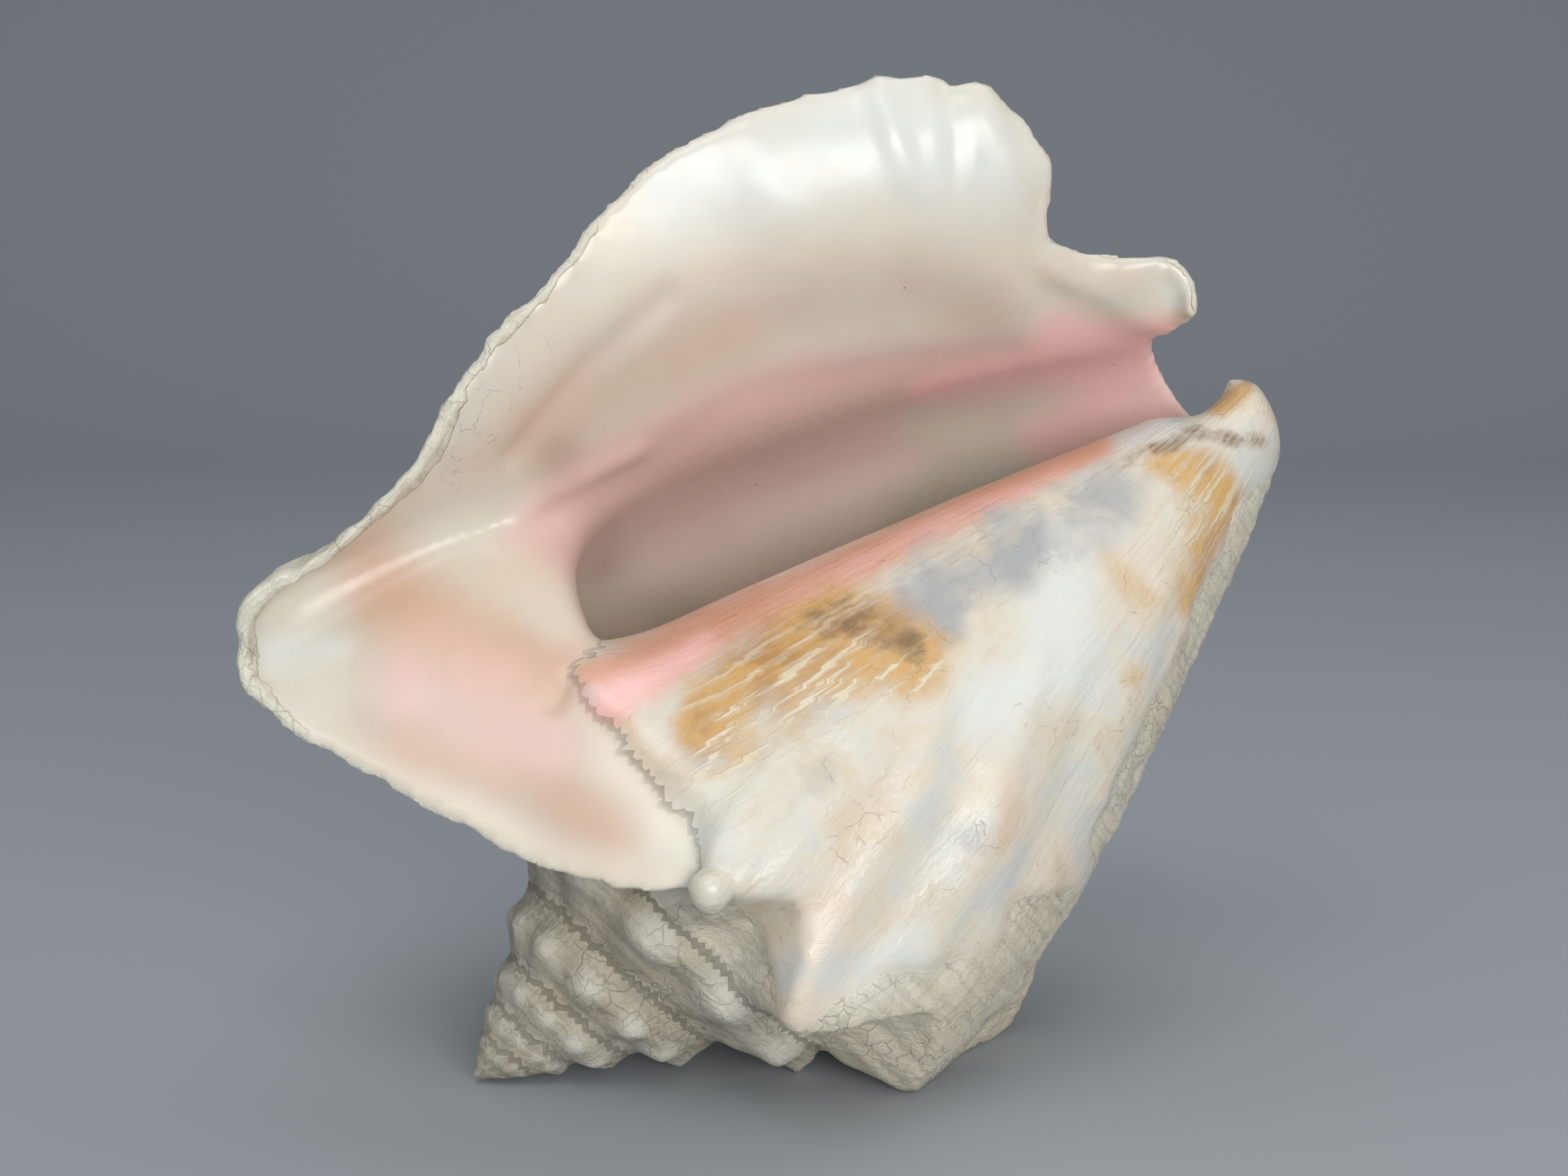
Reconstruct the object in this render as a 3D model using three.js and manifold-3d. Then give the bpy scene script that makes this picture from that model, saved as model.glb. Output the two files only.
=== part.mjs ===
import * as THREE from "three";
import { mergeVertices } from "three/addons/utils/BufferGeometryUtils.js";
import Module from "manifold-3d";

// Driving sizes, in millimetres and turns of the coil
const SHOULDER_RADIUS = 62; // shoulder of the last whorl at the front of the shell
const SHOULDER_HEIGHT = 80; // its distance from the apex along the axis
const SPIRE_GROWTH = 0.47; // natural log of the radius gained in one turn of the spire
const BODY_SLOWING = 0.6; // the last whorl grows less and less
const SPIRE_POWER = 0.86; // how the shoulder's height follows its radius
const SPIRE_FLARE = 0.3; // slope of a spire whorl's wall below its shoulder
const WALL_END = 244; // height at which the wall's taper ends
const COLUMELLA_END = 238; // front end of the columella
const CAP_START = 230; // where the columella starts to round off
const CANAL_END = 230; // front end of the last whorl's back
const SHEET = 3.6; // wall thickness of the last whorl
const LIP_EDGE = 3.4; // wall thickness at the rim of the lip
const COLUMNS = 60; // facets around one turn
const FIRST_TURN = -0.45;
const SPIRE_WHORLS = 5;

// How the shell rests: its axis leans in the picture plane and away from the viewer
const LEAN = THREE.MathUtils.degToRad(41.5);
const AWAY = THREE.MathUtils.degToRad(7);
const LOOK_DOWN = THREE.MathUtils.degToRad(9.5);
const OFFSET_X = -70.92;
const OFFSET_Y = -26.88;
const OFFSET_Z = -0.6;

// Taper of the last whorl's wall below its shoulder: turn, share lost at the front end, power
const TAPER = [
  [-0.45, 1.04, 0.95],
  [-0.18, 1.04, 1.12],
  [0.05, 0.87, 1.2],
  [0.25, 0.83, 1.4],
  [0.5, 0.8, 1.45],
  [0.75, 0.8, 1.45],
];

// Columella inside the last whorl: height, radius
const CORE = [
  [55, 46],
  [80, 36],
  [100, 28],
  [130, 18],
  [160, 12],
  [200, 8],
  [238, 6],
];

// Spines of the last whorl: turn, push along the axis, push outwards, half width in turns
const BODY_SPINES = [
  [0, -12, 4, 0.034],
  [5 / 60, -21, -1, 0.05],
  [13 / 60, -15, -2.5, 0.066],
  [18 / 60, 8, 7.5, 0.045],
  [24 / 60, -4, 13, 0.05],
  [31 / 60, -12, 10, 0.05],
  [38 / 60, -13, 10, 0.05],
  [45 / 60, -12, 7, 0.05],
];
const SPINES_PER_TURN = 12;

// Knob at the lower left of the inner lip and tooth at the columella's end:
// turn, height, push outwards, half width in turns, half height
const KNOBS = [
  [-0.148, 78, 8.5, 0.055, 12],
  [-0.12, 234, 4.5, 0.1, 3],
];

// Rim of the lip from its landing on the front shoulder round the lip to the canal:
// height, side, front, roll towards the viewer in degrees, share of the ramp and wall it grows from, turn it leaves at
const RIM = [
  [68, 0.5, 61, 10, 0, 0.97],
  [63, 4.4, 60.5, 10, 0.04, 0.93],
  [55.3, 12.5, 57, 10, 0.12, 0.88],
  [44.7, 28, 51, 15, 0.3, 0.82],
  [33, 58.5, 44, 25, 0.55, 0.78],
  [26.4, 78, 40, 35, 0.75, 0.75],
  [24, 94, 38, 60, 0.9, 0.74],
  [33, 104.5, 40, 95, 1, 0.735],
  [43, 105.5, 42, 112, 1.03, 0.735],
  [51, 103.5, 43, 108, 1.07, 0.735],
  [68, 103.5, 44, 92, 1.14, 0.735],
  [80, 105, 44, 75, 1.19, 0.735],
  [93.5, 109.5, 45, 55, 1.25, 0.735],
  [111.3, 114, 46, 35, 1.32, 0.735],
  [126.4, 115.1, 46, 22, 1.39, 0.735],
  [141, 117, 46, 15, 1.46, 0.735],
  [160.5, 118.3, 46, 10, 1.54, 0.735],
  [173.6, 114.9, 45, 0, 1.6, 0.735],
  [186.7, 109.9, 44, -10, 1.66, 0.735],
  [206, 99.8, 42, -22, 1.74, 0.735],
  [217, 92, 41, -30, 1.79, 0.735],
  [222, 84, 39, -30, 1.82, 0.735],
  [223.7, 66.5, 34, -18, 1.87, 0.735],
  [215.4, 54.2, 26, 0, 1.9, 0.73],
  [218.8, 49.9, 22, 5, 1.92, 0.73],
  [226.6, 41.2, 20, 15, 1.95, 0.73],
  [234.9, 35.1, 20, 40, 1.97, 0.72],
  [237.4, 30.5, 21, 60, 1.99, 0.72],
  [236.6, 24.8, 22, 80, 2, 0.72],
  [232, 19, 22, 95, 2, 0.72],
];
const RIM_ROWS = 34;
const LIP_STEPS = 10;
const SHEET_START = 0.22;
const SOFTENING = 9; // passes that soften the fold of the shoulder inside the lip

const lerp = (a, b, t) => a + (b - a) * t;
const clamp01 = (x) => Math.min(1, Math.max(0, x));
const smooth = (x) => clamp01(x) ** 2 * (3 - 2 * clamp01(x));

// Linear lookup in rows of numbers whose first entry rises
function lookup(table, x, column) {
  let i = 0;
  while (i < table.length - 2 && x > table[i + 1][0]) i++;
  const t = clamp01((x - table[i][0]) / (table[i + 1][0] - table[i][0]));
  return lerp(table[i][column], table[i + 1][column], t);
}

// The coil, as radius and height of the shoulder at a turn
function shoulderRadius(turn) {
  const late = Math.max(turn, 0);
  const grown = turn < 0 ? turn : late / (1 + BODY_SLOWING * late);
  return SHOULDER_RADIUS * Math.exp(SPIRE_GROWTH * grown);
}
function shoulderHeight(turn) {
  return SHOULDER_HEIGHT * (shoulderRadius(turn) / SHOULDER_RADIUS) ** SPIRE_POWER;
}
function sutureHeight(turn) {
  const share = lerp(0.45, 0.2, smooth((turn + 0.6) / 0.6));
  return lerp(shoulderHeight(turn - 1), shoulderHeight(turn), share);
}
// An inner whorl's wall flares a little until the next whorl covers it
function spireWall(turn, height) {
  return shoulderRadius(turn) + SPIRE_FLARE * Math.max(height - shoulderHeight(turn), 0);
}
function coreRadius(height) {
  return lookup(CORE, height, 1);
}
// The last whorl's wall, from the core out to its taper, with a rounded front end
function wallRadius(turn, height) {
  const from = shoulderHeight(turn);
  const rounded = (Math.max(height - CAP_START, 0) / (COLUMELLA_END + 0.3 - CAP_START)) ** 2;
  const cap = Math.sqrt(Math.max(1 - rounded, 0));
  if (height <= from) return shoulderRadius(turn) * cap;
  const t = clamp01((height - from) / (WALL_END - from));
  const lost = lookup(TAPER, turn, 1) * t ** lookup(TAPER, turn, 2);
  const radius = shoulderRadius(turn) * (1 - Math.min(lost, 0.93));
  const free = lerp(coreRadius(height), radius, smooth((turn + 0.45) / 0.27));
  const dip = smooth((height - 212) / 14) * (1 - smooth((turn + 0.1) / 0.16));
  return cap * free * (1 - 0.7 * dip);
}
// The ramp is swollen where the lip's glaze covers it
function rampPower(turn) {
  const covered = smooth((turn + 0.4) / 0.12) * (1 - smooth((turn + 0.06) / 0.1));
  return lerp(lerp(1.3, 1, smooth(turn / 0.2)), 0.3, covered);
}
function whorlRadius(turn, height, isLast) {
  const low = sutureHeight(turn);
  const high = shoulderHeight(turn);
  if (height >= high) return isLast ? wallRadius(turn, height) : spireWall(turn, height);
  const t = clamp01((height - low) / (high - low));
  return lerp(spireWall(turn - 1, low), shoulderRadius(turn), t ** rampPower(turn));
}

// A round-tipped cone of height 1 over a disc of radius 1
function bump(sideways, along) {
  const x = Math.hypot(sideways, along);
  return Math.max(0, 1 - Math.max(0, Math.sqrt(x * x + 0.01) - 0.1)) ** 1.25;
}
// Push of the spines and knobs at a place on a whorl, as [along the axis, outwards]
function spinePush(turn, height) {
  let along = 0;
  let out = 0;
  if (turn > -0.04) {
    for (const [at, push, swell, wide] of BODY_SPINES) {
      const off = height - shoulderHeight(at);
      const side = (turn - at) / wide;
      const b = bump(side, off / (off < 0 ? 24 : 38));
      const ridge = Math.exp(-((1.6 * side) ** 2)) * smooth((off + 8) / 16) * (1 - smooth(off / 75));
      along += push * b;
      out += swell * b + 2.6 * ridge;
    }
  } else if (turn <= -0.33) {
    const at = Math.round(turn * SPINES_PER_TURN) / SPINES_PER_TURN;
    const size = shoulderRadius(at) / 38.8;
    const off = height - shoulderHeight(at);
    const reach = (off < 0 ? 10 : 9) * Math.min(1, Math.max(size, 0.3));
    const b = bump((turn - at) / 0.05, off / reach);
    along = -3.2 * size * b;
    out = 3.2 * size * b;
  }
  for (const [at, level, swell, wide, tall] of KNOBS) {
    out += swell * Math.exp(-(((turn - at) / wide) ** 2) - ((height - level) / tall) ** 2);
  }
  return [along, out];
}

function place(turn, height, radius) {
  const angle = Math.PI / 2 + 2 * Math.PI * turn;
  return new THREE.Vector3(height, radius * Math.cos(angle), radius * Math.sin(angle));
}

// Spire, front of the last whorl and columella, one closed skin about the axis
function columnOf(turn) {
  const points = [];
  const fades = 1 - smooth((turn - 0.27) / 0.13);
  const add = (level, height, home) => {
    const isLast = home === turn;
    let radius = whorlRadius(home, height, isLast);
    let keep = 1;
    if (isLast && turn > 0.2) {
      keep = fades;
      radius = lerp(Math.min(coreRadius(height), spireWall(turn - 1, height)), radius, fades);
    }
    const [along, out] = spinePush(home, height);
    points.push({ level, height: height + along * keep, radius: radius + out * keep });
  };
  for (let k = SPIRE_WHORLS; k >= 0; k--) {
    const home = turn - k;
    const low = sutureHeight(home);
    const high = shoulderHeight(home);
    add(-k - 0.4, low, home);
    if (k < 4) add(-k - 0.2, lerp(low, high, 0.5), home);
    if (k < 1) add(-k - 0.08, lerp(low, high, 0.8), home);
    add(-k, high, home);
    if (k && k < 3) add(-k + 0.3, lerp(high, sutureHeight(home + 1), 0.5), home);
  }
  const top = shoulderHeight(turn);
  for (const share of [0.05, 0.12, 0.21, 0.32, 0.44, 0.56, 0.68, 0.8, 0.89, 0.95, 0.975, 0.993]) {
    add(share, lerp(top, COLUMELLA_END, share), turn);
  }
  return points;
}

function coilSkin() {
  const vertices = [0, 0, 0, COLUMELLA_END, 0, 0];
  const triangles = [];
  const columns = [];
  for (let c = 0; c < COLUMNS; c++) {
    const turn = FIRST_TURN + c / COLUMNS;
    const points = columnOf(turn);
    for (const p of points) {
      p.index = vertices.length / 3;
      const at = place(turn, p.height, p.radius);
      vertices.push(at.x, at.y, at.z);
    }
    columns.push(points);
  }
  for (let c = 0; c < COLUMNS; c++) {
    const wraps = c === COLUMNS - 1;
    const left = columns[c].map((p) => [wraps ? p.height : p.level, p.index]);
    const right = columns[(c + 1) % COLUMNS].map((p) => [wraps ? p.height : p.level, p.index]);
    let i = 0;
    let j = 0;
    triangles.push(0, right[0][1], left[0][1]);
    while (i < left.length - 1 || j < right.length - 1) {
      const canLeft = i < left.length - 1;
      const canRight = j < right.length - 1;
      const nextLeft = canLeft ? left[i + 1][0] : Infinity;
      const nextRight = canRight ? right[j + 1][0] : Infinity;
      if (nextLeft <= nextRight) {
        triangles.push(left[i][1], right[j][1], left[i + 1][1]);
        i++;
      } else {
        triangles.push(left[i][1], right[j][1], right[j + 1][1]);
        j++;
      }
    }
    triangles.push(1, left[i][1], right[j][1]);
  }
  return { vertices, triangles };
}

// Where the last whorl's back meets the spire, climbing over the shoulder before it near the lip
function landing(turn) {
  const before = turn - 1;
  const climbed = lerp(sutureHeight(before), shoulderHeight(before), 0.8);
  const height = lerp(sutureHeight(turn), climbed, smooth((turn - 0.55) / 0.2));
  const onRamp = height < shoulderHeight(before);
  return [height, (onRamp ? whorlRadius(before, height, true) : spireWall(before, height)) - 2];
}

// A place on the last whorl's outer face; share 0 to 1 is the ramp and 1 to 2 the wall
function backAt(turn, share) {
  if (share < 1) {
    const [low, foot] = landing(turn);
    const power = lerp(1, 0.8, smooth((turn - 0.6) / 0.15));
    const radius = lerp(foot, shoulderRadius(turn), share ** power);
    return [lerp(low, shoulderHeight(turn), share), radius];
  }
  const height = lerp(shoulderHeight(turn), CANAL_END, share - 1);
  return [height, wallRadius(turn, height)];
}

// The rim as a smooth curve through its points
const rimCurve = new THREE.CatmullRomCurve3(
  RIM.map((p) => new THREE.Vector3(p[0], p[1], p[2])),
  false,
  "centripetal",
);

// Blend each column of the lip with its neighbours along the rim, where the back turns into the lip
function softenRows(rows, count) {
  for (let c = 0; c < count; c++) {
    const share = smooth((c - 19.6) / 7) * (1 - smooth((c - 28 - 0.45 * LIP_STEPS) / (0.5 * LIP_STEPS)));
    let soft = rows.map((row) => row[c].at.clone());
    for (let pass = 0; pass < SOFTENING; pass++) {
      soft = soft.map((p, r) => {
        if (r === 0 || r === soft.length - 1) return p;
        return p.clone().multiplyScalar(0.5).addScaledVector(soft[r - 1], 0.25).addScaledVector(soft[r + 1], 0.25);
      });
    }
    rows.forEach((row, r) => row[c].at.lerp(soft[r], share));
  }
}

function sheetSkin() {
  const rows = [];
  const last = RIM.length - 1;
  const lengths = [0];
  for (let i = 1; i <= last; i++) {
    lengths.push(lengths[i - 1] + Math.hypot(...[0, 1, 2].map((k) => RIM[i][k] - RIM[i - 1][k])));
  }
  const knots = RIM.map((p, i) => [lengths[i], i, p[3], p[4], p[5]]);
  for (let r = 0; r <= RIM_ROWS; r++) {
    const along = (lengths[last] * r) / RIM_ROWS;
    const knot = lookup(knots, along, 1);
    const end = rimCurve.getPoint(knot / last);
    const way = rimCurve.getTangent(knot / last);
    const out = new THREE.Vector3(-way.y, way.x, 0).normalize();
    const roll = THREE.MathUtils.degToRad(lookup(knots, along, 2));
    out.multiplyScalar(Math.cos(roll));
    out.z = Math.sin(roll);
    const share = lookup(knots, along, 3);
    const leave = lookup(knots, along, 4);
    const row = [];
    const grid = 28;
    for (let c = 0; c <= grid; c++) {
      const turn = lerp(SHEET_START, leave, c / grid);
      const [height, radius] = backAt(turn, share);
      const under = 0.4 * (1 - smooth((turn - 0.24) / 0.07));
      row.push({ at: place(turn, height, radius - under), turn, height, lip: 0 });
    }
    const start = row[grid].at;
    const before = row[grid - 1].at;
    const go = start.clone().sub(before).normalize();
    const span = start.distanceTo(end);
    const first = start.clone().addScaledVector(go, 0.32 * span);
    const second = end.clone().addScaledVector(out, -0.36 * span);
    const lip = new THREE.CubicBezierCurve3(start, first, second, end);
    for (let c = 1; c <= LIP_STEPS; c++) {
      row.push({ at: lip.getPoint(c / LIP_STEPS), turn: leave, height: 0, lip: c / LIP_STEPS });
    }
    row.out = out;
    rows.push(row);
  }
  const count = rows[0].length;
  softenRows(rows, count);
  const outer = [];
  const inner = [];
  const nose = [];
  for (let r = 0; r <= RIM_ROWS; r++) {
    outer.push([]);
    inner.push([]);
    for (let c = 0; c < count; c++) {
      const here = rows[r][c];
      const across = rows[r][Math.min(c + 1, count - 1)].at.clone();
      across.sub(rows[r][Math.max(c - 1, 0)].at);
      const along = rows[Math.min(r + 1, RIM_ROWS)][c].at.clone();
      along.sub(rows[Math.max(r - 1, 0)][c].at);
      const normal = across.cross(along).normalize();
      let thick = lerp(SHEET, LIP_EDGE, here.lip);
      if (r === RIM_ROWS) thick *= 0.6;
      inner[r].push(here.at.clone().addScaledVector(normal, -thick));
      const face = here.at.clone();
      if (here.lip === 0) {
        const [push, swell] = spinePush(here.turn, here.height);
        const fades = 1 - smooth((here.turn - 0.76) / 0.05);
        const angle = Math.PI / 2 + 2 * Math.PI * here.turn;
        face.x += push * fades;
        face.y += swell * fades * Math.cos(angle);
        face.z += swell * fades * Math.sin(angle);
      }
      outer[r].push(face);
    }
    const middle = outer[r][count - 1].clone().add(inner[r][count - 1]).multiplyScalar(0.5);
    nose.push(middle.addScaledVector(rows[r].out, 0.45 * LIP_EDGE));
  }
  const vertices = [];
  const triangles = [];
  const ring = 2 * count + 1;
  for (let r = 0; r <= RIM_ROWS; r++) {
    const loop = [...outer[r], nose[r], ...inner[r].slice().reverse()];
    for (const p of loop) vertices.push(p.x, p.y, p.z);
    if (r === 0) continue;
    for (let c = 0; c < ring; c++) {
      const a = (r - 1) * ring + c;
      const b = (r - 1) * ring + ((c + 1) % ring);
      triangles.push(a, b, a + ring, b, b + ring, a + ring);
    }
  }
  for (const [start, flip] of [
    [0, true],
    [RIM_ROWS * ring, false],
  ]) {
    const cap = [];
    for (let c = 0; c < count - 1; c++) {
      const a = start + c;
      const d = start + ring - 1 - c;
      cap.push([a, a + 1, d], [a + 1, d - 1, d]);
    }
    cap.push([start + count - 1, start + count, start + count + 1]);
    for (const [a, b, d] of cap) triangles.push(...(flip ? [a, d, b] : [a, b, d]));
  }
  return { vertices, triangles };
}

const wasm = await Module();
wasm.setup();
function solidOf({ vertices, triangles }) {
  const made = new wasm.Manifold(
    new wasm.Mesh({
      numProp: 3,
      vertProperties: new Float32Array(vertices),
      triVerts: new Uint32Array(triangles),
    }),
  );
  return made;
}

// Turn the shell's own frame of height, side and front into the resting pose
function restPose() {
  const [cosLean, sinLean] = [Math.cos(LEAN), Math.sin(LEAN)];
  const [cosAway, sinAway] = [Math.cos(AWAY), Math.sin(AWAY)];
  const axis = new THREE.Vector3(cosAway * cosLean, cosAway * sinLean, -sinAway);
  const side = new THREE.Vector3(-sinLean, cosLean, 0);
  const front = axis.clone().cross(side);
  const toWorld = (p) =>
    new THREE.Vector3(
      p.x,
      p.y * Math.sin(LOOK_DOWN) - p.z * Math.cos(LOOK_DOWN),
      p.y * Math.cos(LOOK_DOWN) + p.z * Math.sin(LOOK_DOWN),
    );
  const m = new THREE.Matrix4().makeBasis(toWorld(axis), toWorld(side), toWorld(front));
  m.setPosition(OFFSET_X, OFFSET_Y, OFFSET_Z);
  return m;
}

const coil = solidOf(coilSkin());
const sheet = solidOf(sheetSkin());
const joined = coil.add(sheet).transform(restPose().elements);
const floor = wasm.Manifold.cube([800, 800, 100], true).translate([0, 0, -50]);
// A sliver shut in where the lip lands on the spire is filled: the outer skin is kept alone
const bodies = joined.subtract(floor).decompose();
const shell = bodies.reduce((a, b) => (a.volume() > b.volume() ? a : b));

const mesh = shell.getMesh();
const geometry = new THREE.BufferGeometry();
const positions = new Float32Array(mesh.numVert * 3);
for (let i = 0; i < mesh.numVert; i++) {
  positions.set(mesh.vertProperties.subarray(i * mesh.numProp, i * mesh.numProp + 3), i * 3);
}
geometry.setAttribute("position", new THREE.BufferAttribute(positions, 3));
geometry.setIndex(new THREE.BufferAttribute(new Uint32Array(mesh.triVerts), 1));
const material = new THREE.MeshStandardMaterial({ color: 0xe3cdb9, roughness: 0.45 });
const conch = new THREE.Mesh(mergeVertices(geometry, 1e-4), material);
conch.name = "conch_shell";

const group = new THREE.Group();
group.add(conch);
export default group;
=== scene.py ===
import math

import bpy
import numpy as np
from mathutils import Matrix, Vector
from mathutils.kdtree import KDTree


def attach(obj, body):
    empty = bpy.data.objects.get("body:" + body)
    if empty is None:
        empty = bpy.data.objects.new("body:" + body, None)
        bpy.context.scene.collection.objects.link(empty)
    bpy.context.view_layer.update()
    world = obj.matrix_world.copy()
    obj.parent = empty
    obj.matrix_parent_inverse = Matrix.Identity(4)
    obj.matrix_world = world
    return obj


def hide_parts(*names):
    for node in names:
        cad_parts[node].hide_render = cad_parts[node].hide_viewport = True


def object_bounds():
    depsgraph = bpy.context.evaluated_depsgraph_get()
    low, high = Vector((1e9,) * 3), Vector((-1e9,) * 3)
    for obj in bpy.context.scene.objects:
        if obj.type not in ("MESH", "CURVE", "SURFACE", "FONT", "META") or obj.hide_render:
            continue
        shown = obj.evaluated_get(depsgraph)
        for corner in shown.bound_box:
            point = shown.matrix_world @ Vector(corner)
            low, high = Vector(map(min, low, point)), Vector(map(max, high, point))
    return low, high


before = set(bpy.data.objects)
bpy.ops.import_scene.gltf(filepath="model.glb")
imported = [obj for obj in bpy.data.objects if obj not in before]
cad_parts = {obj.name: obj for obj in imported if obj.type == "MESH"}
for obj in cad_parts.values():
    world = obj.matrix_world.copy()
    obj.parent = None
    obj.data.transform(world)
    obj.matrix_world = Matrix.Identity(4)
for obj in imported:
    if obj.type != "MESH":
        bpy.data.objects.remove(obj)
cad_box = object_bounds()

# Sizes in millimetres. The coil, sheet and rim repeat the CAD model's sizes, with more facets and one
# more whorl at the spire's tip. Turns count the coil's growth, 0 at the front.
SHOULDER_RADIUS = 62.0
SHOULDER_HEIGHT = 80.0
SPIRE_GROWTH = 0.47
BODY_SLOWING = 0.6
SPIRE_POWER = 0.86
SPIRE_FLARE = 0.3
WALL_END = 244.0
COLUMELLA_END = 238.0
CAP_START = 230.0
CANAL_END = 230.0
SHEET = 3.6
LIP_EDGE = 3.4
FIRST_TURN = -0.45
SHEET_START = 0.22
SPIRE_WHORLS = 6
COLUMNS = 300
SHEET_ROWS = 260
BACK_STEPS = 170
LIP_STEPS = 80
SOFTENING = 500
CAP_MARGIN = 0.3
SPIRE_KNOB = 3.2
SPIRE_KNOB_RADIUS = 38.8
LEAN = math.radians(41.5)
AWAY = math.radians(7)
LOOK_DOWN = math.radians(9.5)
OFFSET = np.array([-70.92, -26.88, -0.6])
VOXEL = 0.0015
# The lens is assumed: 50 mm on a 36 mm frame
SENSOR = 36
FOCAL_PX = 3072.0
FRAME_PX = (2212.0, 1659.0)
APEX_PX = (655.0, 1538.0)
APEX_DEPTH = 473.0
# The spire's tip in the camera's own millimetres
APEX_X = (APEX_PX[0] - FRAME_PX[0] / 2) / FOCAL_PX * APEX_DEPTH
APEX_Y = (FRAME_PX[1] / 2 - APEX_PX[1]) / FOCAL_PX * APEX_DEPTH

TAPER = np.array([
    [-0.45, 1.04, 0.95],
    [-0.18, 1.04, 1.12],
    [0.05, 0.87, 1.2],
    [0.25, 0.83, 1.4],
    [0.5, 0.8, 1.45],
    [0.75, 0.8, 1.45],
])
# Columella inside the last whorl: height, radius
CORE = np.array([[55, 46], [80, 36], [100, 28], [130, 18], [160, 12], [200, 8], [238, 6]])
# Spines of the last whorl: turn, push along the axis, push outwards, half width in turns
BODY_SPINES = [
    (0.0, -12, 4, 0.034),
    (5 / 60, -21, -1, 0.05),
    (13 / 60, -15, -2.5, 0.066),
    (18 / 60, 8, 7.5, 0.045),
    (24 / 60, -4, 13, 0.05),
    (31 / 60, -12, 10, 0.05),
    (38 / 60, -13, 10, 0.05),
    (45 / 60, -12, 7, 0.05),
]
SPINES_PER_TURN = 12
# Knob at the lower left of the inner lip and tooth at the columella's end: turn, height, push, half widths
KNOB = (-0.148, 78.0, 8.5, 0.055, 12.0)
TOOTH = (-0.12, 234.0, 4.5, 0.1, 3.0)
# Rim of the lip: height, side, front, roll towards the viewer in degrees, share of ramp and wall, and
# the turn it leaves at
RIM = np.array([
    [68, 0.5, 61, 10, 0, 0.97],
    [63, 4.4, 60.5, 10, 0.04, 0.93],
    [55.3, 12.5, 57, 10, 0.12, 0.88],
    [44.7, 28, 51, 15, 0.3, 0.82],
    [33, 58.5, 44, 25, 0.55, 0.78],
    [26.4, 78, 40, 35, 0.75, 0.75],
    [24, 94, 38, 60, 0.9, 0.74],
    [33, 104.5, 40, 95, 1, 0.735],
    [43, 105.5, 42, 112, 1.03, 0.735],
    [51, 103.5, 43, 108, 1.07, 0.735],
    [68, 103.5, 44, 92, 1.14, 0.735],
    [80, 105, 44, 75, 1.19, 0.735],
    [93.5, 109.5, 45, 55, 1.25, 0.735],
    [111.3, 114, 46, 35, 1.32, 0.735],
    [126.4, 115.1, 46, 22, 1.39, 0.735],
    [141, 117, 46, 15, 1.46, 0.735],
    [160.5, 118.3, 46, 10, 1.54, 0.735],
    [173.6, 114.9, 45, 0, 1.6, 0.735],
    [186.7, 109.9, 44, -10, 1.66, 0.735],
    [206, 99.8, 42, -22, 1.74, 0.735],
    [217, 92, 41, -30, 1.79, 0.735],
    [222, 84, 39, -30, 1.82, 0.735],
    [223.7, 66.5, 34, -18, 1.87, 0.735],
    [215.4, 54.2, 26, 0, 1.9, 0.73],
    [218.8, 49.9, 22, 5, 1.92, 0.73],
    [226.6, 41.2, 20, 15, 1.95, 0.73],
    [234.9, 35.1, 20, 40, 1.97, 0.72],
    [237.4, 30.5, 21, 60, 1.99, 0.72],
    [236.6, 24.8, 22, 80, 2, 0.72],
    [232, 19, 22, 95, 2, 0.72],
])


def lerp(a, b, t):
    return a + (b - a) * t


def smooth(x):
    x = np.clip(x, 0, 1)
    return x * x * (3 - 2 * x)


def lookup(table, x, column):
    return np.interp(x, table[:, 0], table[:, column])


# The coil
def shoulder_radius(turn):
    late = np.maximum(turn, 0)
    grown = np.where(turn < 0, turn, late / (1 + BODY_SLOWING * late))
    return SHOULDER_RADIUS * np.exp(SPIRE_GROWTH * grown)


def shoulder_height(turn):
    return SHOULDER_HEIGHT * (shoulder_radius(turn) / SHOULDER_RADIUS) ** SPIRE_POWER


def suture_height(turn):
    share = lerp(0.45, 0.2, smooth((turn + 0.6) / 0.6))
    return lerp(shoulder_height(turn - 1), shoulder_height(turn), share)


def spire_wall(turn, height):
    """An inner whorl's wall flares a little until the next whorl covers it."""
    wide = shoulder_radius(turn)
    return wide + SPIRE_FLARE * np.maximum(height - shoulder_height(turn), 0)


def core_radius(height):
    return lookup(CORE, height, 1)


def wall_radius(turn, height):
    start = shoulder_height(turn)
    t = np.clip((height - start) / (WALL_END - start), 0, 1)
    lost = lookup(TAPER, turn, 1) * t ** lookup(TAPER, turn, 2)
    radius = shoulder_radius(turn) * (1 - np.minimum(lost, 0.93))
    free = lerp(core_radius(height), radius, smooth((turn + 0.45) / 0.27))
    free *= 1 - 0.7 * smooth((height - 212) / 14) * (1 - smooth((turn + 0.1) / 0.16))
    past = np.maximum(height - CAP_START, 0) / (COLUMELLA_END + CAP_MARGIN - CAP_START)
    cap = np.sqrt(np.maximum(1 - past ** 2, 0))
    return np.where(height > start, free, radius) * cap


def ramp_power(turn):
    covered = smooth((turn + 0.4) / 0.12) * (1 - smooth((turn + 0.06) / 0.1))
    return lerp(lerp(1.3, 1.0, smooth(turn / 0.2)), 0.3, covered)


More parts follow.
